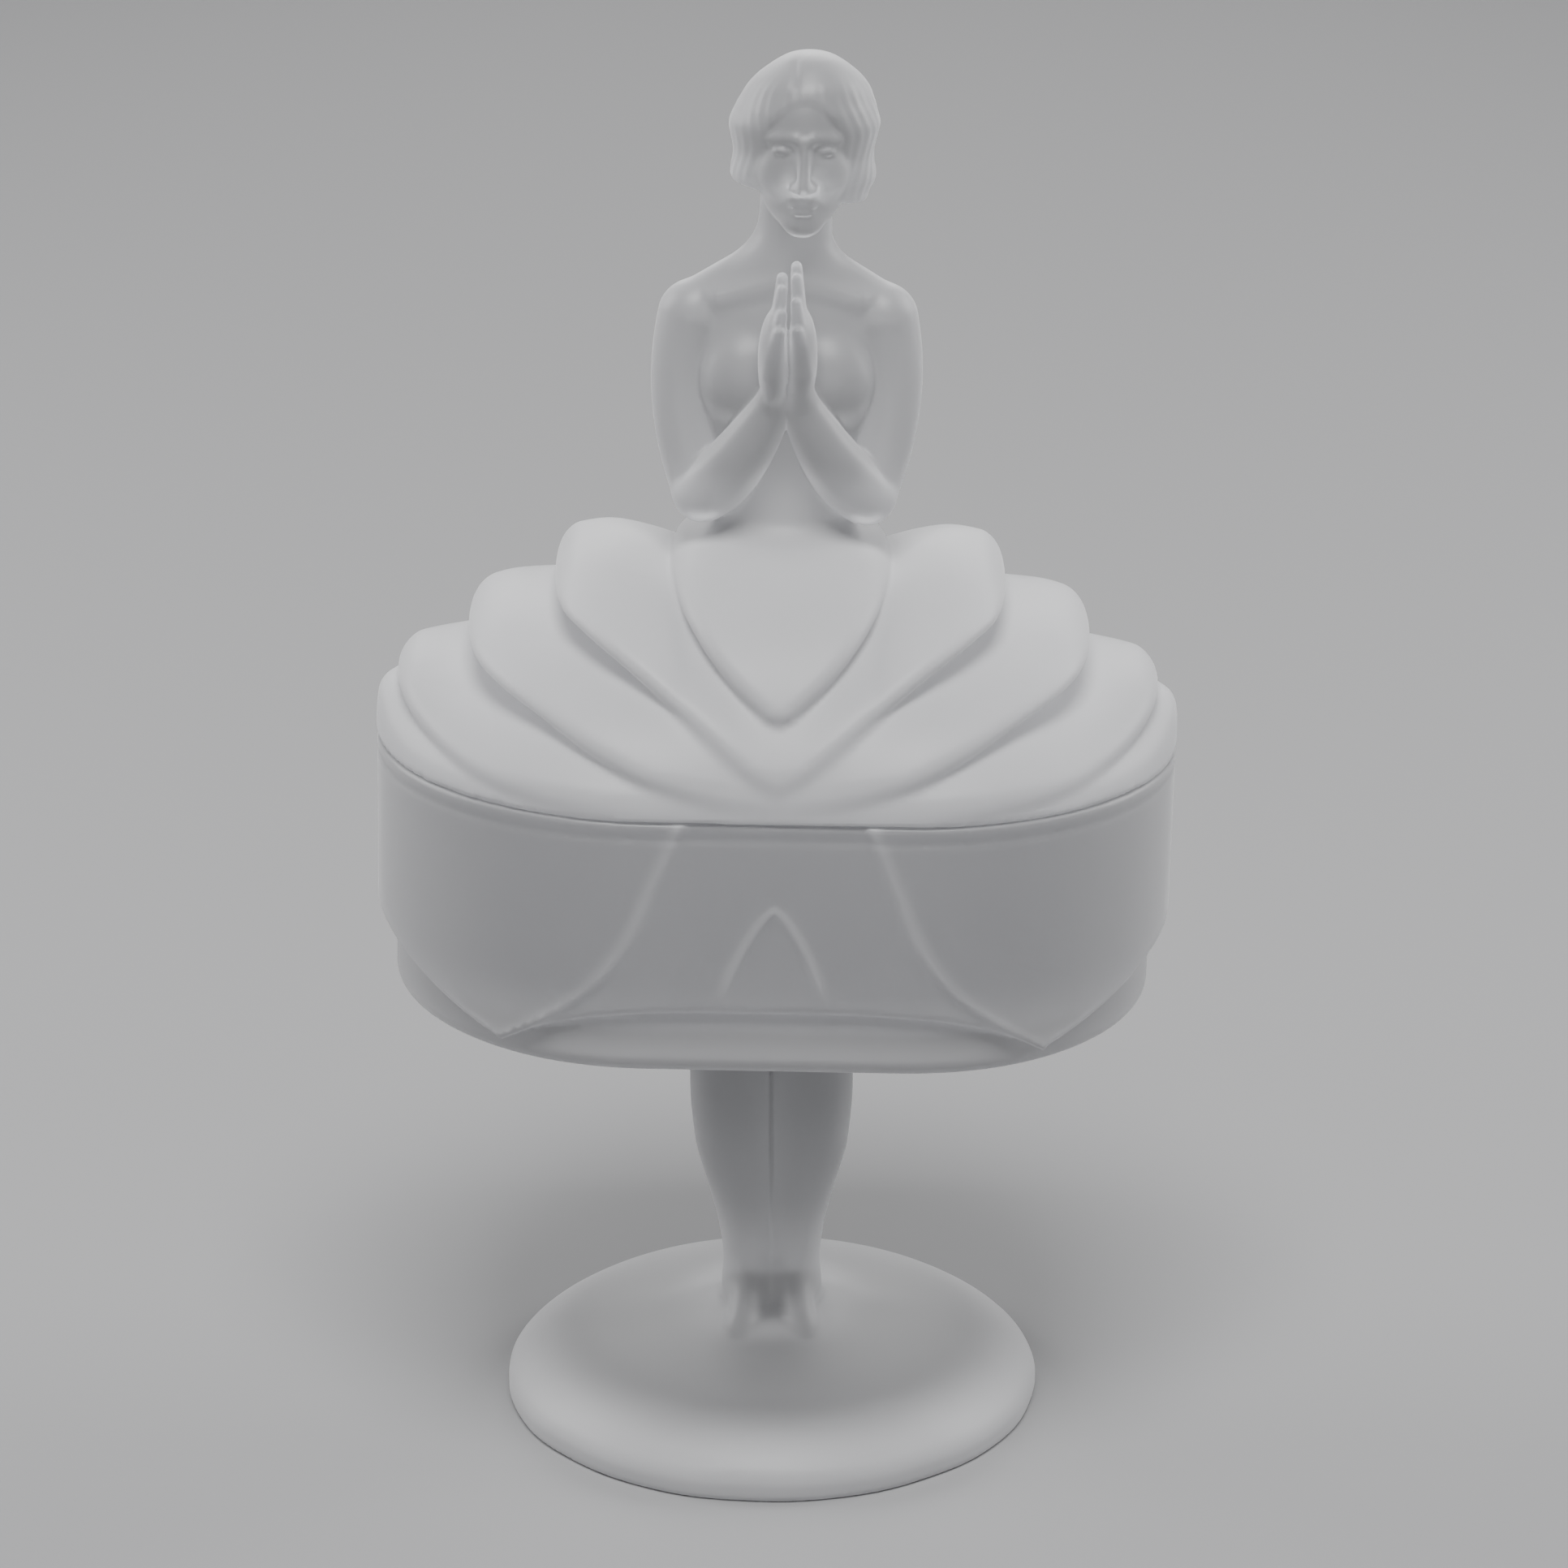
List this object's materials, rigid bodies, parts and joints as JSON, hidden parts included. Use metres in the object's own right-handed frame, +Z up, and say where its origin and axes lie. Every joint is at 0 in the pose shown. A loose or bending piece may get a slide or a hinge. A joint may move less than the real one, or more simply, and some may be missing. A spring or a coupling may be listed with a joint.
{
  "type": "footed powder jar",
  "caption": "Frosted glass powder jar: a petal-skirt lid with a dancer's bust as its handle, on a racetrack bowl held up by a pair of legs and a round foot.",
  "frame": {"origin": "centre of the foot's underside, on the surface that the jar stands on", "axes": "+Z up through the legs to the head, -Y towards the dancer's front, +X along the bowl's length to the viewer's right"},
  "size_m": [0.11, 0.076, 0.197],
  "materials": {
    "satin_glass_jar": "acid-etched satin",
    "satin_glass_lid": "acid-etched satin"
  },
  "bodies": {
    "jar": {"foot": "satin_glass_jar", "left_leg": "satin_glass_jar", "right_leg": "satin_glass_jar", "bowl": "satin_glass_jar"},
    "lid": {"skirt_lid": "satin_glass_lid", "torso": "satin_glass_lid", "left_arm": "satin_glass_lid", "right_arm": "satin_glass_lid", "head": "satin_glass_lid"}
  },
  "joints": [
    {"name": "lid_lift", "type": "slide", "parent": "jar", "child": "lid", "axis": [0, 0, 1], "range_m": [0, 0.06]}
  ]
}
